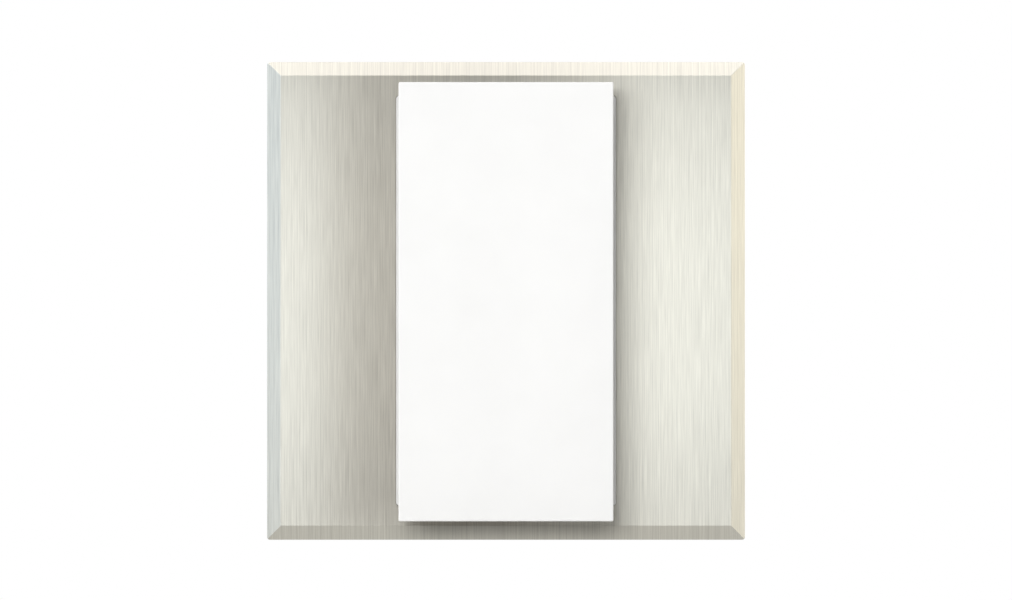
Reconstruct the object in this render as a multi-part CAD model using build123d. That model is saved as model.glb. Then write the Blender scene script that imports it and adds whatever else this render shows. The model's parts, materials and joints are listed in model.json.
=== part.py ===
from build123d import *
import math
import os

# Lengths are in millimetres and angles in degrees.
# X runs to the right, Z runs up, and the wall is the plane Y = 0 with the room on its -Y side.
# A height is a distance in front of the wall, so a negative height lies inside the wall box.

# Metal frame
plate_size = 86.0
frame_height = 9.0
frame_wall = 1.2
bevel = 2.5
frame_corner_radius = 0.5
pry_notch_width = 8.0
pry_notch_height = 1.2

# Rocker key
key_width = 38.6
key_border = 3.55
key_drop = 0.25
key_rise = 4.4
key_wall = 1.5
key_edge_radius = 0.2
key_corner_radius = 0.3
key_skirt_thickness = 1.1
key_skirt_low = 7.5
key_skirt_notch = 10.0
key_hook_thickness = 1.2
key_hook_width = 5.0
key_hook_barb = 0.7
key_hook_drop = 0.8
key_hook_x = 9.0
key_hook_z = 12.0
tilt_limit = 3.0
tilt_margin = 0.2

# Collar and cover of the mechanism
collar_margin = 0.45
collar_inset = 2.6
collar_rise = 0.7
collar_wall = 1.4
collar_corner = 0.35
cover_floor = 1.8
bearing_depth = 1.6
bearing_width = 6.4
bearing_rise = 2.8
sleeve_wall = 1.6
sleeve_length = 4.4

# Cradle that carries the key
pivot_gap = 0.35
trunnion_radius = 1.25
trunnion_reach = 0.5
ear_thickness = 2.4
ear_width = 6.0
cradle_rise = 1.2
cradle_thickness = 2.0
cradle_length = 60.0
nose_rise = 0.2
nose_width = 8.0
nose_depth = 1.6
seat_post_size = 3.2
seat_post_z = 20.0

# Mounting yoke
yoke_border = 3.6
yoke_thickness = 2.6
yoke_corner_radius = 3.0
yoke_rim_width = 1.4
yoke_rim_rise = 0.8
yoke_ledge = 1.3
yoke_pocket_depth = 0.9
yoke_pocket_start = 7.5
yoke_rib = 2.6
fixing_centres = 60.3
fixing_slot_width = 4.0
fixing_slot_length = 7.0

# Clip frame behind the metal
backing_thickness = 1.6
skirt_thickness = 1.3
skirt_low = 0.4
rib_thickness = 1.2
rib_drop = 1.4
rib_x = 23.5
clip_inset = 4.0
clip_z = 24.0
clip_thickness = 1.4
clip_width = 6.0
clip_barb = 0.9
clip_low = 0.3

# Mechanism housing
housing_width = 35.6
housing_height = 61.6
housing_wall = 1.5
housing_floor = 1.6
housing_chamfer = 1.0
lug_width = 11.2
lug_reach = 2.8
lug_low = 0.2
groove_depth = 0.5
side_groove_width = 1.6
side_groove_pitch = 10.0
side_grooves = 5
back_groove_width = 1.0
back_groove_length = 17.0
back_groove_pitch = 2.2
back_grooves = 4
back_groove_inset = 6.3
screw_boss_radius = 2.6
strip_post_width = 3.0
strip_post_length = 4.0

# Spring plungers and their contacts
plunger_inset = 8.8
stem_radius = 2.5
stem_chamfer = 0.9
stop_margin = 0.25
carrier_width = 7.0
carrier_depth = 6.0
carrier_length = 7.0
bridge_inset = 1.0
bridge_width = 3.2
bridge_thickness = 0.8
bridge_overhang = 2.0
contact_inset = 8.8
contact_size = 2.6
contact_thickness = 0.6
spring_length = 6.6
spring_radius = 2.25
spring_wire_radius = 0.25
spring_turns = 4
spring_peg_size = 2.4
spring_peg_length = 1.2

# Contact strips and terminals
strip_width = 4.0
strip_thickness = 0.8
strip_overhang = 2.0
terminal_spread = 12.0
pillar_width = 7.0
pillar_tall = 7.5
pillar_length = 7.0
pocket_wall = 1.2
wire_radius = 1.9
wire_depth = 2.7
screw_hole_radius = 1.75
terminal_head_radius = 2.5
terminal_head_length = 1.6
terminal_slot = 0.8
terminal_slot_turn = 50.0

# Screws that hold the cover on the housing
cover_screw_radius = 1.25
cover_screw_length = 9.0
cover_head_radius = 2.4
cover_recess_width = 0.7
cover_recess_length = 2.6

# Fits
opening_clearance = 0.05
running_clearance = 0.05
loose_clearance = 0.2
rim_clearance = 0.3
nose_clearance = 0.1
contact_clearance = 0.03

# Outline sizes that follow from the values above
key_height = plate_size - 2 * key_border
collar_width = key_width + 2 * collar_margin
collar_height = key_height - 2 * collar_inset
yoke_size = plate_size - 2 * yoke_border
inner_bevel = bevel - (2 - math.sqrt(2)) * frame_wall
cavity_size = plate_size - 2 * frame_wall
backing_size = cavity_size - 2 * loose_clearance
clip_x = yoke_size / 2 - clip_inset
collar_inside = collar_width / 2 - collar_wall
bearing_face = collar_inside - bearing_depth
ear_face = bearing_face - 2 * loose_clearance
cradle_width = 2 * (ear_face - ear_thickness)
cover_screw_x = housing_width / 2 - screw_boss_radius
cover_screw_z = housing_height / 2 - screw_boss_radius
back_groove_z = housing_height / 2 - back_groove_inset
contact_offset = housing_width / 2 - contact_inset
plunger_offset = housing_height / 2 - plunger_inset
strip_end = plunger_offset + strip_overhang

# Heights that follow from the values above
key_face = frame_height + key_rise
key_inner = key_face - key_wall
collar_top = frame_height + collar_rise
cover_top = yoke_thickness + cover_floor
pivot_height = cover_top + trunnion_radius + pivot_gap
bearing_top = pivot_height + bearing_rise
cradle_low = pivot_height + cradle_rise
cradle_top = cradle_low + cradle_thickness
nose_low = pivot_height + nose_rise
backing_top = frame_height - frame_wall
backing_low = backing_top - backing_thickness
press_travel = plunger_offset * math.radians(tilt_limit)
sleeve_low = cover_top - sleeve_length
plunger_top = nose_low - nose_clearance
shoulder = sleeve_low - press_travel - stop_margin
carrier_low = shoulder - carrier_length
bridge_low = carrier_low + bridge_inset
bridge_top = bridge_low + bridge_thickness
bridge_tip = bridge_low - contact_thickness
fixed_tip = bridge_tip - press_travel - contact_clearance
strip_top = fixed_tip - contact_thickness
strip_low = strip_top - strip_thickness
floor_top = carrier_low - spring_length
housing_back = floor_top - housing_floor
pillar_back = housing_back - pillar_length
wire_height = housing_back - wire_depth
cover_head_low = cover_top - (cover_head_radius - cover_screw_radius)

# Planes in which a point is written as height and Z, and as X and height
side_plane = Plane(origin=(0, 0, 0), x_dir=(0, -1, 0), z_dir=(-1, 0, 0))
top_plane = Plane(origin=(0, 0, 0), x_dir=(1, 0, 0), z_dir=(0, 0, -1))


def slab(outline, low, high):
    """A flat outline made solid between two heights."""
    return extrude(Plane.XZ.offset(low) * outline, amount=high - low)


def block(width, tall, low, high, x=0.0, z=0.0):
    """A box with its middle at X and Z, between two heights."""
    return slab(Pos(x, z) * Rectangle(width, tall), low, high)


def rod(radius, low, high, x=0.0, z=0.0):
    """A round bar that stands off the wall."""
    return slab(Pos(x, z) * Circle(radius), low, high)


def cross_rod(radius, near, far, height, z=0.0):
    """A round bar along X."""
    return extrude(Plane.YZ.offset(near) * Pos(-height, z) * Circle(radius), amount=far - near)


def cone(low_radius, high_radius, low, high, x=0.0, z=0.0):
    """A cone that stands off the wall."""
    base = (Align.CENTER, Align.CENTER, Align.MIN)
    return Plane.XZ.offset(low) * Pos(x, z) * Cone(low_radius, high_radius, high - low, align=base)


def left_and_right(shape):
    return shape + mirror(shape, about=Plane.YZ)


def up_and_down(shape):
    return shape + mirror(shape, about=Plane.XY)


def in_two_corners(shape):
    """The shape and its copy in the opposite corner."""
    return shape + Rot(0, 180, 0) * shape


def front_edges(shape):
    """The edges of the face that looks into the room."""
    return shape.faces().sort_by(Axis.Y)[0].edges()


def back_edges(shape):
    """The edges of the face that looks into the wall box."""
    return shape.faces().sort_by(Axis.Y)[-1].edges()


def collar_outline(margin):
    """The collar's outline with its corners cut, grown by a margin."""
    outline = Rectangle(collar_width + 2 * margin, collar_height + 2 * margin)
    return chamfer(outline.vertices(), collar_corner)


def front_frame():
    """The bevelled metal frame, a thin shell that is open at the back."""
    bevelled = block(plate_size, plate_size, 0, frame_height)
    bevelled = chamfer(front_edges(bevelled), bevel)
    outline = RectangleRounded(plate_size, plate_size, frame_corner_radius)
    shell = bevelled & slab(outline, 0, frame_height)
    cavity = block(cavity_size, cavity_size, 0, backing_top)
    cavity = chamfer(front_edges(cavity), inner_bevel)
    shell -= cavity
    shell -= slab(collar_outline(opening_clearance), 0, frame_height)
    shell -= block(pry_notch_width, 2 * frame_wall, 0, pry_notch_height, z=-cavity_size / 2)
    return shell


def clip():
    """One snap hook of the clip frame, with its barb turned outwards."""
    edge = clip_x + clip_thickness / 2
    barb_top = yoke_ledge - running_clearance
    arm = block(clip_thickness, clip_width, clip_low, backing_low, x=clip_x, z=clip_z)
    wedge = Polygon((edge, clip_low), (edge, barb_top), (edge + clip_barb, barb_top), align=None)
    barb = Pos(0, 0, clip_z) * extrude(top_plane * wedge, amount=clip_width / 2, both=True)
    return arm + barb


def frame_backing():
    """The clip frame that is bonded inside the metal and snaps on the yoke."""
    plate = block(backing_size, backing_size, skirt_low, backing_top)
    plate = chamfer(front_edges(plate), inner_bevel)
    inside = backing_size - 2 * skirt_thickness
    plate -= block(inside, inside, skirt_low, backing_low)
    plate -= slab(collar_outline(opening_clearance), skirt_low, backing_top)
    plate -= block(pry_notch_width, 3 * skirt_thickness, skirt_low, pry_notch_height, z=-backing_size / 2)
    rib = block(rib_thickness, inside, backing_low - rib_drop, backing_low, x=rib_x)
    return plate + left_and_right(rib) + left_and_right(up_and_down(clip()))


def mounting_yoke():
    """The plate that is screwed to the wall box and carries everything else."""
    rim_top = yoke_thickness + yoke_rim_rise
    plate = slab(RectangleRounded(yoke_size, yoke_size, yoke_corner_radius), 0, rim_top)
    inside = yoke_size - 2 * yoke_rim_width
    plate -= block(inside, inside, yoke_thickness, rim_top)
    aperture = (housing_width + 2 * loose_clearance, housing_height + 2 * loose_clearance)
    plate -= block(*aperture, 0, yoke_thickness)
    lug_span = housing_height + 2 * (lug_reach + loose_clearance)
    plate -= block(lug_width + 2 * loose_clearance, lug_span, 0, yoke_ledge)
    slot = SlotOverall(fixing_slot_length, fixing_slot_width)
    plate -= left_and_right(slab(Pos(fixing_centres / 2, 0) * slot, 0, yoke_thickness))
    window = (clip_thickness + 2 * loose_clearance, clip_width + 2 * loose_clearance)
    opening = block(*window, 0, yoke_thickness, x=clip_x, z=clip_z)
    opening += block(window[0] + clip_barb, window[1], 0, yoke_ledge, x=clip_x + clip_barb / 2, z=clip_z)
    return plate - left_and_right(up_and_down(opening + yoke_pockets()))


def yoke_pockets():
    """Two hollows in a quarter of the yoke's back, between ribs."""
    inner_edge = housing_width / 2 + loose_clearance + yoke_rib
    outer_edge = clip_x - clip_thickness / 2 - loose_clearance - yoke_rib
    end = yoke_size / 2 - 2 * yoke_rib
    tall = (end - yoke_pocket_start - yoke_rib) / 2
    hollow = (outer_edge - inner_edge, tall, 0, yoke_pocket_depth)
    middle = (inner_edge + outer_edge) / 2
    near = block(*hollow, x=middle, z=yoke_pocket_start + tall / 2)
    return near + block(*hollow, x=middle, z=end - tall / 2)


def mechanism_cover():
    """The white cover whose collar shows beside the key, with bearings and plunger guides."""
    cover = slab(collar_outline(0), yoke_thickness, collar_top)
    cover -= block(2 * collar_inside, collar_height - 2 * collar_wall, cover_top, collar_top)
    bearing_x = bearing_face + bearing_depth
    bearing = block(2 * bearing_depth, bearing_width, cover_top, bearing_top, x=bearing_x)
    bearing = bearing & block(collar_width, bearing_width, cover_top, collar_top)
    cover += left_and_right(bearing)
    socket_end = collar_inside + trunnion_reach
    cover -= left_and_right(
        cross_rod(trunnion_radius + running_clearance, bearing_face, socket_end, pivot_height)
    )
    bore_radius = stem_radius + running_clearance
    tower_size = 2 * (bore_radius + sleeve_wall)
    cover += up_and_down(block(tower_size, tower_size, sleeve_low, cover_top, z=plunger_offset))
    cover -= up_and_down(rod(bore_radius, sleeve_low, cover_top, z=plunger_offset))
    hole = rod(cover_screw_radius, yoke_thickness, cover_top, x=cover_screw_x, z=cover_screw_z)
    hole += cover_head(cover_screw_x, cover_screw_z)
    return cover - in_two_corners(hole)


def cover_head(x, z):
    """The countersunk head of a cover screw."""
    return cone(cover_screw_radius, cover_head_radius, cover_head_low, cover_top, x, z)


def cover_screws():
    """The two screws that pull the cover and the housing together on the yoke."""
    tip = cover_top - cover_screw_length
    screw = rod(cover_screw_radius, tip, cover_head_low, x=cover_screw_x, z=cover_screw_z)
    screw += cover_head(cover_screw_x, cover_screw_z)
    depth = cover_top - cover_recess_width
    spot = {"x": cover_screw_x, "z": cover_screw_z}
    screw -= block(cover_recess_length, cover_recess_width, depth, cover_top, **spot)
    screw -= block(cover_recess_width, cover_recess_length, depth, cover_top, **spot)
    return in_two_corners(screw)


def terminal_places():
    """The side and Z of the common, upper and lower terminals."""
    return [(-1, 0.0), (1, terminal_spread), (1, -terminal_spread)]


def pocket(side, z):
    """Barrier walls round a terminal, open to the rear and to the side."""
    room = pillar_tall + 2 * loose_clearance
    inner_edge = contact_offset - pillar_width / 2 - loose_clearance
    outer_edge = contact_offset + pillar_width / 2
    wall_edge = inner_edge - pocket_wall
    walls = block(
        outer_edge - wall_edge,
        room + 2 * pocket_wall,
        pillar_back,
        floor_top,
        x=side * (outer_edge + wall_edge) / 2,
        z=z,
    )
    space = block(
        outer_edge - inner_edge, room, pillar_back, housing_back, x=side * (outer_edge + inner_edge) / 2, z=z
    )
    return walls - space


def mechanism_housing():
    """The box behind the wall that holds the contacts, springs and terminals."""
    housing = block(housing_width, housing_height, housing_back, yoke_thickness)
    housing = chamfer(back_edges(housing), housing_chamfer)
    housing += block(lug_width, housing_height + 2 * lug_reach, lug_low, yoke_ledge)
    inside = (housing_width - 2 * housing_wall, housing_height - 2 * housing_wall)
    housing -= block(*inside, floor_top, yoke_thickness)
    boss = rod(screw_boss_radius, floor_top, yoke_thickness, x=cover_screw_x, z=cover_screw_z)
    housing += in_two_corners(boss)
    tip = cover_top - cover_screw_length - cover_screw_radius
    pilot = rod(cover_screw_radius, tip, yoke_thickness, x=cover_screw_x, z=cover_screw_z)
    housing -= in_two_corners(pilot)
    peg = (spring_peg_size, spring_peg_size, floor_top, floor_top + spring_peg_length)
    housing += up_and_down(block(*peg, z=plunger_offset))
    post = (strip_post_width, strip_post_length, floor_top, strip_low)
    housing += left_and_right(up_and_down(block(*post, x=contact_offset, z=plunger_offset)))
    for side, z in terminal_places():
        housing += pocket(side, z)
    for side, z in terminal_places():
        slit_width = strip_width + 2 * loose_clearance
        slit_tall = strip_thickness + 2 * loose_clearance
        housing -= block(slit_width, slit_tall, housing_back, floor_top, x=side * contact_offset, z=z)
    return housing - left_and_right(side_groove_row()) - up_and_down(back_groove_row())


def side_groove_row():
    """The shallow grooves that run down one side wall of the housing."""
    groove = Rectangle(2 * groove_depth, side_groove_width)
    row = Sketch() + GridLocations(0, side_groove_pitch, 1, side_grooves) * groove
    return slab(Pos(housing_width / 2, 0) * row, housing_back + 2 * housing_floor, -2 * housing_floor)


def back_groove_row():
    """The shallow grooves in one end of the housing's back."""
    groove = Rectangle(back_groove_length, back_groove_width)
    row = Sketch() + GridLocations(0, back_groove_pitch, 1, back_grooves) * groove
    return slab(Pos(0, back_groove_z) * row, housing_back, housing_back + groove_depth)


def common_strip():
    """The long brass strip under both plungers, with one leg to its terminal."""
    strip = block(strip_width, 2 * strip_end, strip_low, strip_top, x=-contact_offset)
    return strip + block(strip_width, strip_thickness, housing_back, strip_top, x=-contact_offset)


def switched_strip(side):
    """The short brass strip under one plunger, with a leg at its inner end."""
    inner_end = terminal_spread - strip_thickness / 2
    middle = side * (strip_end + inner_end) / 2
    strip = block(strip_width, strip_end - inner_end, strip_low, strip_top, x=contact_offset, z=middle)
    leg_z = side * terminal_spread
    return strip + block(
        strip_width, strip_thickness, housing_back, strip_top, x=contact_offset, z=leg_z
    )


def fixed_contacts():
    """The four silver pads on the strips."""
    pad = (contact_size, contact_size, strip_top, fixed_tip)
    return left_and_right(up_and_down(block(*pad, x=contact_offset, z=plunger_offset)))


def terminal(side, z):
    """A brass pillar with a cross bore for the wire and a screw hole from behind."""
    x = side * contact_offset
    pillar = block(pillar_width, pillar_tall, pillar_back, housing_back, x=x, z=z)
    pillar -= cross_rod(wire_radius, x - pillar_width / 2, x + pillar_width / 2, wire_height, z)
    return pillar - rod(screw_hole_radius, pillar_back, wire_height, x=x, z=z)


def terminal_screw(side, z):
    """A slotted clamping screw, backed out until the wire bore is free."""
    head_back = pillar_back - terminal_head_length
    tip = wire_height - wire_radius - loose_clearance
    screw = rod(terminal_head_radius, head_back, pillar_back)
    screw += rod(screw_hole_radius - running_clearance, pillar_back, tip)
    screw -= block(2 * terminal_head_radius, terminal_slot, head_back, head_back + terminal_slot)
    turn = terminal_slot_turn * z / terminal_spread
    return Pos(side * contact_offset, 0, z) * Rot(0, turn, 0) * screw


def terminal_screws():
    """The clamping screws of the three terminals."""
    common, upper, lower = [terminal_screw(side, z) for side, z in terminal_places()]
    return common + upper + lower


def return_spring(z):
    """The coil spring that lifts one plunger; six sides stand for its round wire."""
    low = floor_top + spring_wire_radius
    height = spring_length - 2 * spring_wire_radius
    coil = Helix(height / spring_turns, height, spring_radius, center=(0, -low, z), direction=(0, -1, 0))
    wire = Plane(origin=coil @ 0, z_dir=coil % 0) * RegularPolygon(spring_wire_radius, 6)
    return sweep(wire, path=coil, is_frenet=True)


def plunger(z):
    """A round stem on a carrier block that holds the contact bridge."""
    stem = rod(stem_radius, shoulder, plunger_top, z=z)
    stem = chamfer(front_edges(stem), stem_chamfer)
    carrier = block(carrier_width, carrier_depth, carrier_low, shoulder, z=z)
    slot_width = bridge_width + 2 * running_clearance
    carrier -= block(carrier_width, slot_width, bridge_low, bridge_top + running_clearance, z=z)
    peg = (spring_peg_size, spring_peg_size, carrier_low - spring_peg_length, carrier_low)
    return stem + carrier + block(*peg, z=z)


def contact_bridge(z):
    """The round-ended bar that joins two fixed contacts when its plunger is pressed."""
    bar = SlotOverall(2 * (contact_offset + bridge_overhang), bridge_width)
    return slab(Pos(0, z) * bar, bridge_low, bridge_top)


def bridge_contacts(z):
    """The two silver pads under a contact bridge."""
    pad = (contact_size, contact_size, bridge_tip, bridge_low)
    return left_and_right(block(*pad, x=contact_offset, z=z))


def key_hook():
    """One snap hook under the key, with its barb turned away from the pivot."""
    edge = key_hook_z + key_hook_thickness / 2
    barb_top = cradle_low - running_clearance
    hook_low = cradle_low - key_hook_drop
    arm = block(key_hook_width, key_hook_thickness, hook_low, key_inner, x=key_hook_x, z=key_hook_z)
    wedge = Polygon((hook_low, edge), (barb_top, edge + key_hook_barb), (barb_top, edge), align=None)
    barb = Pos(key_hook_x, 0, 0) * extrude(side_plane * wedge, amount=key_hook_width / 2, both=True)
    return arm + barb


def key_skirt():
    """Walls that hang from the key inside the collar and hide the mechanism, cut out over the bearings."""
    outer_width = 2 * (collar_inside - rim_clearance)
    outer_height = collar_height - 2 * collar_wall - 4 * rim_clearance
    skirt = block(outer_width, outer_height, key_skirt_low, key_inner)
    skirt -= block(
        outer_width - 2 * key_skirt_thickness,
        outer_height - 2 * key_skirt_thickness,
        key_skirt_low,
        key_inner,
    )
    return skirt - block(outer_width, key_skirt_notch, key_skirt_low, bearing_top + 2 * loose_clearance)


def rocker_key():
    """The flat white key, slightly low in the frame, with a shallow V underneath for the tilt."""
    top = key_height / 2 - key_drop
    bottom = -key_height / 2 - key_drop
    rim_low = collar_top + rim_clearance
    slope = math.tan(math.radians(tilt_limit + tilt_margin))
    outline = Polygon(
        (key_face, top),
        (key_face, bottom),
        (rim_low - bottom * slope, bottom),
        (rim_low, 0),
        (rim_low + top * slope, top),
        align=None,
    )
    key = extrude(side_plane * outline, amount=key_width / 2, both=True)
    key = fillet(key.edges().filter_by(Axis.Y), key_corner_radius)
    key = fillet(front_edges(key), key_edge_radius)
    key -= block(key_width - 2 * key_wall, key_height - 2 * key_wall, 0, key_inner, z=-key_drop)
    return key + key_skirt() + left_and_right(up_and_down(key_hook()))


def rocker_cradle():
    """The pivoting carrier under the key, with its trunnions and the noses that press the plungers."""
    cradle = block(cradle_width, cradle_length, cradle_low, cradle_top)
    ear_low = pivot_height - trunnion_radius
    ear_x = ear_face - ear_thickness
    ear = block(2 * ear_thickness, ear_width, ear_low, cradle_top, x=ear_x)
    ear += cross_rod(trunnion_radius, ear_x, collar_inside + trunnion_reach - loose_clearance, pivot_height)
    cradle += left_and_right(ear)
    cradle += up_and_down(block(nose_width, nose_depth, nose_low, cradle_low, z=plunger_offset))
    post = (seat_post_size, seat_post_size, cradle_top, key_inner)
    cradle += left_and_right(up_and_down(block(*post, x=key_hook_x, z=seat_post_z)))
    window = block(
        key_hook_width + 2 * loose_clearance,
        key_hook_thickness + 2 * loose_clearance,
        cradle_low,
        cradle_top,
        x=key_hook_x,
        z=key_hook_z,
    )
    return cradle - left_and_right(up_and_down(window))


nodes = {
    "front_frame": front_frame(),
    "frame_backing": frame_backing(),
    "mounting_yoke": mounting_yoke(),
    "mechanism_cover": mechanism_cover(),
    "mechanism_housing": mechanism_housing(),
    "cover_screws": cover_screws(),
    "common_strip": common_strip(),
    "upper_strip": switched_strip(1),
    "lower_strip": switched_strip(-1),
    "fixed_contacts": fixed_contacts(),
    "common_terminal": terminal(*terminal_places()[0]),
    "upper_terminal": terminal(*terminal_places()[1]),
    "lower_terminal": terminal(*terminal_places()[2]),
    "terminal_screws": terminal_screws(),
    "return_spring_upper": return_spring(plunger_offset),
    "return_spring_lower": return_spring(-plunger_offset),
    "plunger_upper": plunger(plunger_offset),
    "plunger_lower": plunger(-plunger_offset),
    "contact_bridge_upper": contact_bridge(plunger_offset),
    "contact_bridge_lower": contact_bridge(-plunger_offset),
    "bridge_contacts_upper": bridge_contacts(plunger_offset),
    "bridge_contacts_lower": bridge_contacts(-plunger_offset),
    "rocker_key": rocker_key(),
    "rocker_cradle": rocker_cradle(),
}

os.makedirs("parts", exist_ok=True)
for name, shape in nodes.items():
    shape.label = name
    export_step(shape, f"parts/{name}.step")
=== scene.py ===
"""The looks of a rocker light switch: its materials, its springs and the stage that it is seen on."""
import json
import math

import bpy
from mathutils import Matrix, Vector

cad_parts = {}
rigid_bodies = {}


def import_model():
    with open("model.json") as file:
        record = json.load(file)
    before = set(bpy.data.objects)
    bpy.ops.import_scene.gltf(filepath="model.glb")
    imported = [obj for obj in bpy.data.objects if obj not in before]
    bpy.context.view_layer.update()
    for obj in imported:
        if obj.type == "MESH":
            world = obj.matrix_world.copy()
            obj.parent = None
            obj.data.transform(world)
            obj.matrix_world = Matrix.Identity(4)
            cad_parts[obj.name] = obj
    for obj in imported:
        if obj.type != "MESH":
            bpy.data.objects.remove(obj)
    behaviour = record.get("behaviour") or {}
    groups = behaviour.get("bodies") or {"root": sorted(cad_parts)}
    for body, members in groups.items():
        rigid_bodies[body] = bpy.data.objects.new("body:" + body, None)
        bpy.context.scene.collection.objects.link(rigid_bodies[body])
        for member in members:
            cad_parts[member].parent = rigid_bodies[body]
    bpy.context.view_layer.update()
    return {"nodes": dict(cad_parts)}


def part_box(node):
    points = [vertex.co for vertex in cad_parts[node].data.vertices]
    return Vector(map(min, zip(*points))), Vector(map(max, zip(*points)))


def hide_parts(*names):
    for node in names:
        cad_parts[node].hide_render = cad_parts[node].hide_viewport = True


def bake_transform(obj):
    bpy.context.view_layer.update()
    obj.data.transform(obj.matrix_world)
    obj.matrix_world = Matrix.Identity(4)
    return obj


# Lengths are in metres, angles in degrees and lamp powers in watts, and colours are linear.
MM = 0.001

# Camera, which stands level with the floor, and the width of a pixel at the face of the frame
IMAGE_WIDTH = 1012
PIXEL = 0.17984 * MM
CAMERA_DISTANCE = 3.0
VIEW_DEPTH = 4 * CAMERA_DISTANCE
AIM_HEIGHT = 0.117 * MM

# World and lamps
AMBIENT = 0.33
LAMP_DISTANCE = 2.5
KEY_LAMP_POWER = 55.5
KEY_LAMP_SIZE = 2.15
KEY_LAMP_LEFT = 31
KEY_LAMP_UP = 35
FILL_LAMP_POWER = 45.0
FILL_LAMP_SIZE = 3.6
FILL_LAMP_LEFT = 150
FILL_LAMP_UP = 38

# Floor, just under the object
FLOOR_GAP = 0.1 * MM
FLOOR_SIZE = 8.0
FLOOR_COLOUR = (0.86, 0.86, 0.85)
FLOOR_ROUGHNESS = 0.8

# The floor as reflections see it, with a painted shadow of the rocker key: a darker patch under the key
MIRRORED_TINT = (1.0, 0.98, 0.95)
MIRRORED_LEVEL = 0.575
PAINTED_SHADOW_CENTRE = 1.6 * MM
PAINTED_SHADOW_CORE = 14 * MM
PAINTED_SHADOW_EDGE = 24 * MM
PAINTED_SHADOW_FRONT = -9.5 * MM
PAINTED_SHADOW_BACK = -6.2 * MM
PAINTED_SHADOW_FRONT_LEVEL = 0.31 * MIRRORED_LEVEL
PAINTED_SHADOW_BACK_LEVEL = 0.84 * MIRRORED_LEVEL

# Reflector cards for the tinted bevels
CARD_DISTANCE = 0.35
CARD_SIZE = 0.6
LEFT_CARD_COLOUR = (0.68, 0.82, 1.0)
RIGHT_CARD_COLOUR = (1.66, 1.52, 1.27)
TOP_CARD_COLOUR = (1.96, 1.86, 1.83)
TOP_CARD_SIZE = CARD_SIZE / 2
TOP_CARD_FORWARD = 60 * MM

# Reflector card for the front, with its tones by their share of the plate's width from the left
FRONT_CARD_GAP = 20 * MM
WING_TONES = {
    0.05: (0.735, 0.75, 0.76),
    0.2: (0.232, 0.21, 0.187),
    0.775: (0.88, 0.895, 0.9),
    0.95: (0.68, 0.695, 0.7),
}

# Its tones between the wings, level with the rocker key, which end in a painted shadow of the key
KEY_TONES_AND_PAINTED_SHADOW = {
    0.42: (0.202, 0.186, 0.17),
    0.64: (0.325, 0.312, 0.3),
    0.745: (0.07, 0.066, 0.062),
}

# Its tones between the wings, above the rocker key, where the painted shadow stops
UPPER_TONES = {
    0.36: (0.04, 0.036, 0.032),
    0.54: (0.05, 0.045, 0.041),
    0.64: (0.44, 0.422, 0.407),
    0.72: (0.54, 0.53, 0.52),
}
UPPER_START = 37 * MM
UPPER_END = 40 * MM

# How the front card fades away from its middle, once more at its top, and evens out beside the plate
FADE_CENTRE = -1.5 * MM
FADE_START = 14 * MM
FADE_END = 45 * MM
FADE_LEVEL = 0.69
TOP_FADE_START = 36 * MM
TOP_FADE_END = 52 * MM
TOP_FADE_LEVEL = 0.5
BESIDE_START = 46 * MM
BESIDE_END = 58 * MM
BESIDE_LEVEL = 0.86

# Rounding of the pressed and moulded edges
METAL_EDGE = 0.06 * MM
PLASTIC_EDGE = 0.12 * MM
EDGE_SEGMENTS = 2
SHARP_ANGLE = 25
FLAT_ANGLE = 0.5
JOIN_DISTANCE = 0.002 * MM
FACE_WEIGHT = 100

# Return springs
WIRE_RADIUS = 0.25 * MM
SPRING_TURNS = 4
STEPS_PER_TURN = 32

# Brushed metal of the frame, with short and long scratches
NICKEL = (0.823, 0.812, 0.737)
SHORT_GRAIN = (0.17 * MM, 0.17 * MM, 9 * MM)
LONG_GRAIN = (0.25 * MM, 0.25 * MM, 200 * MM)
LONG_GRAIN_SHARE = 0.42
DARK_GRAIN = 0.84
LIGHT_GRAIN = 1.14
GRAIN_DEPTH = 0.005 * MM
SMOOTHEST_GRAIN = 0.43
ROUGHEST_GRAIN = 0.53
GRAIN_STRETCH = 0.35
GRAIN_TURN = 0.25
SIDE_WALL_FACING = 0.9

# The way of the grain, a little off upright so that no face looks straight along it
GRAIN_WAY = (0.01, 0.013, 1.0)

# Moulded plastics, with the cover a little greyer than the key as painted shade on its collar beside the
# key
KEY_WHITE = (0.88, 0.88, 0.875)
COVER_PAINTED_SHADE_WHITE = (0.74, 0.74, 0.735)
CLIP_GREY = (0.48, 0.48, 0.47)
YOKE_WHITE = (0.71, 0.71, 0.68)
HOUSING_GREY = (0.34, 0.355, 0.37)
CRADLE_WHITE = (0.75, 0.75, 0.73)
IVORY = (0.69, 0.65, 0.54)
SPECK = 0.3 * MM
SPECKS = (SPECK, SPECK, SPECK)
SPECK_DEPTH = 0.008 * MM
CLOUDS = (14 * MM, 14 * MM, 14 * MM)
CLOUD_SHADE = 0.975
WAVE_DEPTH = 0.02 * MM
PLASTIC_SPREAD = 0.05
PLASTIC_IOR = 1.5

# Bare and plated metals
BRASS = (0.78, 0.56, 0.22)
BRONZE = (0.72, 0.42, 0.2)
SILVER = (0.87, 0.86, 0.82)
SPRING_STEEL = (0.5, 0.51, 0.53)
ZINC = (0.66, 0.67, 0.68)
DRAWING_MARKS = (2 * MM, 0.15 * MM, 0.15 * MM)
ROLLING_MARKS = (2 * MM, SPECK, SPECK)
MARK_DEPTH = 0.004 * MM
TARNISH = (3 * MM, 3 * MM, 3 * MM)
TARNISH_SHADE = 0.86
METAL_SPREAD = 0.07

# The part of a noise's range that most of its values lie in
NOISE_LOW = 0.3
NOISE_HIGH = 0.7

# Sockets of the mix node by their number, because numbers and colours share their names there
MIX_SHARE = 0
NUMBER_A = 2
NUMBER_B = 3
NUMBER_RESULT = 0
COLOUR_A = 6
COLOUR_B = 7
COLOUR_RESULT = 2


def clear_scene():
    """Empties Blender's start-up scene."""
    for item in list(bpy.data.objects):
        bpy.data.objects.remove(item)


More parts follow.
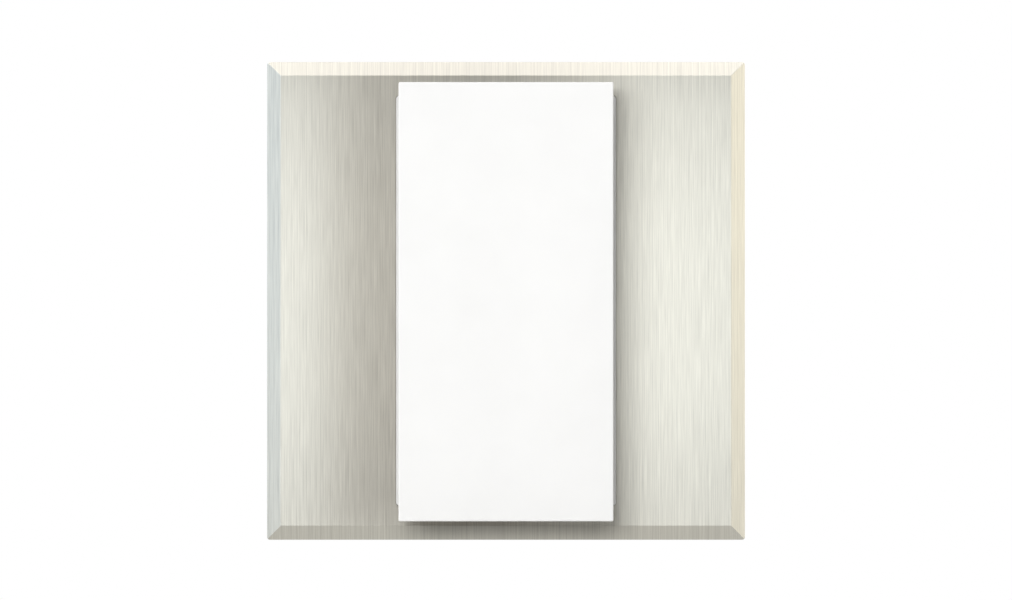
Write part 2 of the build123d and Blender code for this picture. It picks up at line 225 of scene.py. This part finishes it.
def new_material(name):
    """A material, its node tree and its shader."""
    material = bpy.data.materials.new(name)
    material.use_nodes = True
    return material, material.node_tree, material.node_tree.nodes["Principled BSDF"]


def node(tree, kind, inputs=None, **settings):
    """A new node of a tree, with its settings and the values of its inputs."""
    made = tree.nodes.new(kind)
    for key, value in settings.items():
        setattr(made, key, value)
    for key, value in (inputs or {}).items():
        if isinstance(value, bpy.types.NodeSocket):
            tree.links.new(value, made.inputs[key])
        else:
            made.inputs[key].default_value = value
    return made


def maths(tree, operation, *values):
    """The result of an operation on sockets and numbers."""
    return node(tree, "ShaderNodeMath", dict(enumerate(values)), operation=operation).outputs[0]


def ramped(tree, value, start, end, first=0.0, last=1.0, curve="LINEAR"):
    """Goes from first to last while a value goes from start to end."""
    inputs = {"Value": value, "From Min": start, "From Max": end, "To Min": first, "To Max": last}
    return node(tree, "ShaderNodeMapRange", inputs, interpolation_type=curve).outputs["Result"]


def mixed(tree, share, first, last):
    """A number between two others."""
    inputs = {MIX_SHARE: share, NUMBER_A: first, NUMBER_B: last}
    return node(tree, "ShaderNodeMix", inputs).outputs[NUMBER_RESULT]


def mixed_colour(tree, share, first, last):
    """A colour between two others."""
    inputs = {MIX_SHARE: share, COLOUR_A: first, COLOUR_B: last}
    return node(tree, "ShaderNodeMix", inputs, data_type="RGBA").outputs[COLOUR_RESULT]


def parts_of(tree, vector):
    """The X, Y and Z of a vector."""
    return node(tree, "ShaderNodeSeparateXYZ", {"Vector": vector}).outputs


def world_place(tree):
    """The X, Y and Z of the shaded point in the world."""
    return parts_of(tree, node(tree, "ShaderNodeNewGeometry").outputs["Position"])


def noise(tree, feature, detail=4.0, roughness=0.6, shift=0.0, place=None):
    """Noise whose features have the given size along X, Y and Z."""
    place = place or node(tree, "ShaderNodeTexCoord").outputs["Object"]
    stretch = {"Vector": place, "Scale": [1 / size for size in feature], "Location": (shift, shift, shift)}
    mapped = node(tree, "ShaderNodeMapping", stretch).outputs["Vector"]
    values = {"Vector": mapped, "Scale": 1.0, "Detail": detail, "Roughness": roughness}
    return node(tree, "ShaderNodeTexNoise", values).outputs["Fac"]


def spread(tree, value, low, high):
    """The middle of a noise stretched to the range from low to high."""
    return ramped(tree, value, NOISE_LOW, NOISE_HIGH, low, high)


def tones(tree, value, dark, light):
    """A colour between two tones, chosen by a noise."""
    return mixed_colour(tree, spread(tree, value, 0.0, 1.0), (*dark, 1), (*light, 1))


def bump(tree, height, distance, normal=None):
    """A normal that is tilted by a height of up to the distance."""
    made = node(tree, "ShaderNodeBump", {"Height": height, "Distance": distance, "Strength": 1.0})
    if normal:
        tree.links.new(normal, made.inputs["Normal"])
    return made.outputs["Normal"]


def shaded(colour, share):
    """A colour with a share of its brightness."""
    return [channel * share for channel in colour]


def grain_place(tree):
    """A place without its depth, so that the grain runs over the bevels; the side walls keep the depth."""
    source = node(tree, "ShaderNodeTexCoord").outputs
    place = parts_of(tree, source["Object"])
    sideways = maths(tree, "ABSOLUTE", parts_of(tree, source["Normal"])["X"])
    wall = maths(tree, "GREATER_THAN", sideways, SIDE_WALL_FACING)
    depth = maths(tree, "MULTIPLY", place["Y"], wall)
    joined = {"X": place["X"], "Y": depth, "Z": place["Z"]}
    return node(tree, "ShaderNodeCombineXYZ", joined).outputs["Vector"]


def brushed_metal():
    """Pale nickel with a fine vertical grain."""
    material, tree, shader = new_material("brushed_metal")
    place = grain_place(tree)
    short = noise(tree, SHORT_GRAIN, detail=2.0, place=place)
    long = noise(tree, LONG_GRAIN, detail=2.0, shift=7.0, place=place)
    grain = mixed(tree, LONG_GRAIN_SHARE, short, long)
    colour = tones(tree, grain, shaded(NICKEL, DARK_GRAIN), shaded(NICKEL, LIGHT_GRAIN))
    tree.links.new(colour, shader.inputs["Base Color"])
    tree.links.new(spread(tree, grain, SMOOTHEST_GRAIN, ROUGHEST_GRAIN), shader.inputs["Roughness"])
    tree.links.new(bump(tree, short, GRAIN_DEPTH), shader.inputs["Normal"])
    shader.inputs["Metallic"].default_value = 1.0
    shader.inputs["Anisotropic"].default_value = GRAIN_STRETCH
    shader.inputs["Anisotropic Rotation"].default_value = GRAIN_TURN
    way = node(tree, "ShaderNodeCombineXYZ", dict(zip("XYZ", GRAIN_WAY)))
    tree.links.new(way.outputs["Vector"], shader.inputs["Tangent"])
    return material


def moulded_plastic(name, colour, roughness, depth=SPECK_DEPTH):
    """Plastic with a fine moulded texture and a faint waviness."""
    material, tree, shader = new_material(name)
    texture = noise(tree, SPECKS, detail=3.0)
    clouds = noise(tree, CLOUDS, detail=2.0, shift=3.0)
    tree.links.new(tones(tree, clouds, shaded(colour, CLOUD_SHADE), colour), shader.inputs["Base Color"])
    gloss = spread(tree, texture, roughness - PLASTIC_SPREAD, roughness + PLASTIC_SPREAD)
    tree.links.new(gloss, shader.inputs["Roughness"])
    wavy = bump(tree, clouds, WAVE_DEPTH)
    tree.links.new(bump(tree, texture, depth, wavy), shader.inputs["Normal"])
    shader.inputs["IOR"].default_value = PLASTIC_IOR
    return material


def plain_metal(name, colour, roughness, marks=SPECKS, depth=MARK_DEPTH):
    """Bare or plated metal with marks of the given size, and a slight tarnish."""
    material, tree, shader = new_material(name)
    texture = noise(tree, marks)
    tarnish = noise(tree, TARNISH, shift=5.0)
    tree.links.new(tones(tree, tarnish, shaded(colour, TARNISH_SHADE), colour), shader.inputs["Base Color"])
    gloss = spread(tree, texture, roughness - METAL_SPREAD, roughness + METAL_SPREAD)
    tree.links.new(gloss, shader.inputs["Roughness"])
    tree.links.new(bump(tree, texture, depth), shader.inputs["Normal"])
    shader.inputs["Metallic"].default_value = 1.0
    return material


def white_plastic(name, colour):
    """The smooth plastic of the key and the cover."""
    return moulded_plastic(name, colour, roughness=0.34, depth=0.002 * MM)


def make_materials():
    """A material for every slot of the record."""
    return {
        "brushed_metal": brushed_metal(),
        "white_plastic": white_plastic("white_plastic", KEY_WHITE),
        "clip_plastic": moulded_plastic("clip_plastic", CLIP_GREY, roughness=0.5),
        "yoke_plastic": moulded_plastic("yoke_plastic", YOKE_WHITE, roughness=0.48),
        "housing_plastic": moulded_plastic("housing_plastic", HOUSING_GREY, roughness=0.46),
        "cradle_plastic": moulded_plastic("cradle_plastic", CRADLE_WHITE, roughness=0.45, depth=0.006 * MM),
        "plunger_plastic": moulded_plastic("plunger_plastic", IVORY, roughness=0.4, depth=0.004 * MM),
        "brass": plain_metal("brass", BRASS, roughness=0.3, marks=DRAWING_MARKS),
        "bridge_bronze": plain_metal("bridge_bronze", BRONZE, roughness=0.32, marks=ROLLING_MARKS),
        "contact_silver": plain_metal("contact_silver", SILVER, roughness=0.25, depth=0.003 * MM),
        "spring_steel": plain_metal("spring_steel", SPRING_STEEL, roughness=0.3, depth=0.003 * MM),
        "screw_steel": plain_metal("screw_steel", ZINC, roughness=0.3),
    }


def smooth_shading():
    """A node group that joins the corners of a mesh and shades it smooth."""
    group = bpy.data.node_groups.new("smooth_shading", "GeometryNodeTree")
    group.interface.new_socket("Geometry", in_out="INPUT", socket_type="NodeSocketGeometry")
    group.interface.new_socket("Geometry", in_out="OUTPUT", socket_type="NodeSocketGeometry")
    start = group.nodes.new("NodeGroupInput").outputs[0]
    joined = node(group, "GeometryNodeMergeByDistance", {"Geometry": start, "Distance": JOIN_DISTANCE})
    faces = node(group, "GeometryNodeSetShadeSmooth", {"Geometry": joined.outputs[0]}, domain="FACE")
    edges = node(group, "GeometryNodeSetShadeSmooth", {"Geometry": faces.outputs[0]}, domain="EDGE")
    group.links.new(edges.outputs[0], group.nodes.new("NodeGroupOutput").inputs[0])
    return group


def round_edges(piece, width, group):
    """Takes the sharpness off a piece's edges, so that they catch the light."""
    piece.modifiers.new("smooth", "NODES").node_group = group
    flat = piece.modifiers.new("flat", "DECIMATE")
    flat.decimate_type = "DISSOLVE"
    flat.angle_limit = math.radians(FLAT_ANGLE)
    edge = piece.modifiers.new("edge", "BEVEL")
    edge.width = width
    edge.segments = EDGE_SEGMENTS
    edge.limit_method = "ANGLE"
    edge.angle_limit = math.radians(SHARP_ANGLE)
    edge.use_clamp_overlap = False
    normals = piece.modifiers.new("normals", "WEIGHTED_NORMAL")
    normals.weight = FACE_WEIGHT


def dress(frame):
    """Gives every solid its material and its rounded edges."""
    materials = make_materials()
    group = smooth_shading()
    for piece in frame["nodes"].values():
        slot = piece.material_slots[0].material.name.split(".")[0]
        piece.material_slots[0].material = materials[slot]
        round_edges(piece, PLASTIC_EDGE if slot.endswith("_plastic") else METAL_EDGE, group)
    # The cover gets a greyer copy of the key's white, which paints the key's shade onto the collar beside
    # it
    cover = frame["nodes"]["mechanism_cover"]
    cover.material_slots[0].material = white_plastic("cover_painted_shade_plastic", COVER_PAINTED_SHADE_WHITE)


def coil_mesh(low, high):
    """A coil of round wire that fills the box between two corners, along Y."""
    curve = bpy.data.curves.new("coil", "CURVE")
    curve.dimensions = "3D"
    curve.bevel_depth = WIRE_RADIUS
    curve.use_fill_caps = True
    centre = (low + high) / 2
    radius = (high.x - low.x) / 2 - WIRE_RADIUS
    rise = high.y - low.y - 2 * WIRE_RADIUS
    steps = SPRING_TURNS * STEPS_PER_TURN
    wire = curve.splines.new("POLY")
    wire.points.add(steps)
    for step, point in enumerate(wire.points):
        turn = math.tau * step / STEPS_PER_TURN
        depth = high.y - WIRE_RADIUS - rise * step / steps
        point.co = (centre.x + radius * math.cos(turn), depth, centre.z + radius * math.sin(turn), 1)
    return bpy.data.meshes.new_from_object(bpy.data.objects.new("coil", curve))


def add_springs(frame):
    """Coils that stand for the spring solids, and give way between the housing and their plungers."""
    for end in ("upper", "lower"):
        solid = f"return_spring_{end}"
        low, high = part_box(solid)
        coil = bpy.data.objects.new(f"return_coil_{end}", coil_mesh(low, high))
        coil.data.materials.append(frame["nodes"][solid].material_slots[0].material)
        bpy.context.collection.objects.link(coil)
        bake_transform(coil)
        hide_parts(solid)


def add_camera(face, floor_height):
    """A camera on the floor that looks at the frame's face."""
    data = bpy.data.cameras.new("camera")
    data.lens = data.sensor_width * CAMERA_DISTANCE / (IMAGE_WIDTH * PIXEL)
    data.clip_end = VIEW_DEPTH
    camera = bpy.data.objects.new("camera", data)
    target = Vector((0, face, AIM_HEIGHT))
    camera.location = (0, face - CAMERA_DISTANCE, floor_height)
    camera.rotation_euler = (target - camera.location).to_track_quat("-Z", "Y").to_euler()
    bpy.context.collection.objects.link(camera)
    bpy.context.scene.camera = camera


def background_ray(tree):
    """One for the rays that should see the white background."""
    path = node(tree, "ShaderNodeLightPath").outputs
    seen = maths(tree, "MAXIMUM", path["Is Camera Ray"], path["Is Glossy Ray"])
    return maths(tree, "MAXIMUM", seen, path["Is Transmission Ray"])


def add_world():
    """A white background that lights the object less than it shows."""
    world = bpy.data.worlds.new("world")
    bpy.context.scene.world = world
    world.use_nodes = True
    tree = world.node_tree
    strength = ramped(tree, background_ray(tree), 0.0, 1.0, first=AMBIENT)
    background = tree.nodes["Background"]
    background.inputs["Color"].default_value = (1, 1, 1, 1)
    tree.links.new(strength, background.inputs["Strength"])


def add_plane(name, centre, facing, size):
    """A square plane that faces a direction and isn't part of the object."""
    half = size / 2
    corners = [(-half, -half, 0), (half, -half, 0), (half, half, 0), (-half, half, 0)]
    mesh = bpy.data.meshes.new(name)
    mesh.from_pydata(corners, [], [(0, 1, 2, 3)])
    plane = bpy.data.objects.new(name, mesh)
    plane.rotation_mode = "QUATERNION"
    plane.rotation_quaternion = Vector(facing).to_track_quat("Z", "Y")
    plane.location = centre
    bpy.context.collection.objects.link(plane)
    return plane


def mirrored_level_with_painted_shadow(tree):
    """How bright reflections see the floor: even, with a painted shadow of the rocker key that darkens it
    under the key.
    """
    place = world_place(tree)
    away = maths(tree, "ABSOLUTE", maths(tree, "SUBTRACT", place["X"], PAINTED_SHADOW_CENTRE))
    # Painted shadow of the rocker key, darkest at the front
    painted_shadow = ramped(tree, place["Y"], PAINTED_SHADOW_FRONT, PAINTED_SHADOW_BACK, PAINTED_SHADOW_FRONT_LEVEL, PAINTED_SHADOW_BACK_LEVEL)
    return ramped(tree, away, PAINTED_SHADOW_CORE, PAINTED_SHADOW_EDGE, painted_shadow, MIRRORED_LEVEL, curve="SMOOTHSTEP")


def add_floor(height):
    """A plain pale floor, which reflections see as a glowing grey with a painted shadow under the rocker
    key.
    """
    floor = add_plane("floor", (0, 0, height), (0, 0, 1), FLOOR_SIZE)
    material, tree, shader = new_material("floor")
    shader.inputs["Base Color"].default_value = (*FLOOR_COLOUR, 1)
    shader.inputs["Roughness"].default_value = FLOOR_ROUGHNESS
    light = {"Color": (*MIRRORED_TINT, 1), "Strength": mirrored_level_with_painted_shadow(tree)}
    glow = node(tree, "ShaderNodeEmission", light)
    path = node(tree, "ShaderNodeLightPath")
    seen = {"Fac": path.outputs["Is Glossy Ray"], 1: shader.outputs[0], 2: glow.outputs[0]}
    mix = node(tree, "ShaderNodeMixShader", seen)
    tree.links.new(mix.outputs[0], tree.nodes["Material Output"].inputs["Surface"])
    floor.data.materials.append(material)


def glowing(name, colour):
    """A card's material, and the node that gives off its light."""
    material, tree, shader = new_material(name)
    tree.nodes.remove(shader)
    glow = node(tree, "ShaderNodeEmission", {"Color": (*colour, 1), "Strength": 1.0})
    tree.links.new(glow.outputs[0], tree.nodes["Material Output"].inputs["Surface"])
    return material, glow


def add_card(name, centre, facing, colour=(1, 1, 1), size=CARD_SIZE):
    """A reflector card that only shows in reflections, and the node that gives off its light."""
    card = add_plane(name, centre, facing, size)
    card.visible_camera = False
    card.visible_diffuse = False
    card.visible_transmission = False
    card.visible_shadow = False
    material, glow = glowing(name, colour)
    card.data.materials.append(material)
    return glow


def add_side_cards():
    """Cards to the left and right and above, which tint the bevels."""
    add_card("left_card", (-CARD_DISTANCE, 0, 0), (1, 0, 0), LEFT_CARD_COLOUR)
    add_card("right_card", (CARD_DISTANCE, 0, 0), (-1, 0, 0), RIGHT_CARD_COLOUR)
    above = (0, -TOP_CARD_FORWARD, CARD_DISTANCE)
    add_card("top_card", above, (0, 0, -1), TOP_CARD_COLOUR, TOP_CARD_SIZE)


def tone_ramp(tree, across, middle):
    """A tone by its share of the plate's width, with the middle tones between those of the wings."""
    stops = {**WING_TONES, **middle}
    ramp = node(tree, "ShaderNodeValToRGB", {"Fac": across})
    ramp.color_ramp.interpolation = "EASE"
    elements = ramp.color_ramp.elements
    first, *others, last = sorted(stops)
    elements[0].position = first
    elements[1].position = last
    for place in others:
        elements.new(place)
    for element, place in zip(elements, sorted(stops)):
        element.color = (*stops[place], 1)
    return ramp.outputs["Color"]


def front_tone(tree, place, left, right):
    """The front card's tone, with a painted shadow of the rocker key that stops above the key."""
    across = ramped(tree, place["X"], left, right)
    upper = ramped(tree, place["Z"], UPPER_START, UPPER_END)
    key_tone_and_painted_shadow = tone_ramp(tree, across, KEY_TONES_AND_PAINTED_SHADOW)
    upper_tone = tone_ramp(tree, across, UPPER_TONES)
    return mixed_colour(tree, upper, key_tone_and_painted_shadow, upper_tone)


def front_level(tree, place):
    """The front card's strength, which fades upwards and downwards and is even beside the plate."""
    off_centre = maths(tree, "ABSOLUTE", maths(tree, "SUBTRACT", place["Z"], FADE_CENTRE))
    fade = ramped(tree, off_centre, FADE_START, FADE_END, 1.0, FADE_LEVEL)
    top_fade = ramped(tree, place["Z"], TOP_FADE_START, TOP_FADE_END, 1.0, TOP_FADE_LEVEL)
    level = maths(tree, "MULTIPLY", fade, top_fade)
    beside = ramped(tree, maths(tree, "ABSOLUTE", place["X"]), BESIDE_START, BESIDE_END)
    return mixed(tree, beside, level, BESIDE_LEVEL)


def add_front_card(left, right):
    """A card close to the front, which gives the metal its light and dark bands."""
    glow = add_card("front_card", (0, -FRONT_CARD_GAP, 0), (0, 1, 0))
    tree = glow.id_data
    place = world_place(tree)
    tree.links.new(front_tone(tree, place, left, right), glow.inputs["Color"])
    tree.links.new(front_level(tree, place), glow.inputs["Strength"])


def keep_out_of_reflections(frame):
    """Leaves the key and its collar out of reflections, because the coarse grain doesn't mirror them."""
    for name in ("rocker_key", "mechanism_cover"):
        frame["nodes"][name].visible_glossy = False


def add_lamp(name, power, size, left, up):
    """A large soft lamp, turned left from the front and up by angles in degrees."""
    data = bpy.data.lights.new(name, "AREA")
    data.shape = "SQUARE"
    data.size = size
    data.energy = power
    lamp = bpy.data.objects.new(name, data)
    turn = math.radians(left)
    lift = math.radians(up)
    aim = Vector((-math.sin(turn) * math.cos(lift), -math.cos(turn) * math.cos(lift), math.sin(lift)))
    lamp.location = aim * LAMP_DISTANCE
    lamp.rotation_mode = "QUATERNION"
    lamp.rotation_quaternion = aim.to_track_quat("Z", "Y")
    bpy.context.collection.objects.link(lamp)
    return lamp


def keep_off_the_frame(lamp, frame):
    """Leaves the metal frame out of a lamp's light, because its top would mirror it as plain white."""
    left_out = bpy.data.collections.new("left_out")
    left_out.objects.link(frame["nodes"]["front_frame"])
    left_out.collection_objects[0].light_linking.link_state = "EXCLUDE"
    lamp.light_linking.receiver_collection = left_out


clear_scene()
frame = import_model()
bpy.context.scene.view_settings.view_transform = "Standard"
plate_low, plate_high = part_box("front_frame")
floor_height = plate_low.z - FLOOR_GAP
add_camera(plate_low.y, floor_height)
add_world()
add_floor(floor_height)
add_side_cards()
add_front_card(plate_low.x, plate_high.x)
add_lamp("key_lamp", KEY_LAMP_POWER, KEY_LAMP_SIZE, KEY_LAMP_LEFT, KEY_LAMP_UP)
fill_lamp = add_lamp("fill_lamp", FILL_LAMP_POWER, FILL_LAMP_SIZE, FILL_LAMP_LEFT, FILL_LAMP_UP)
keep_off_the_frame(fill_lamp, frame)
dress(frame)
add_springs(frame)
keep_out_of_reflections(frame)
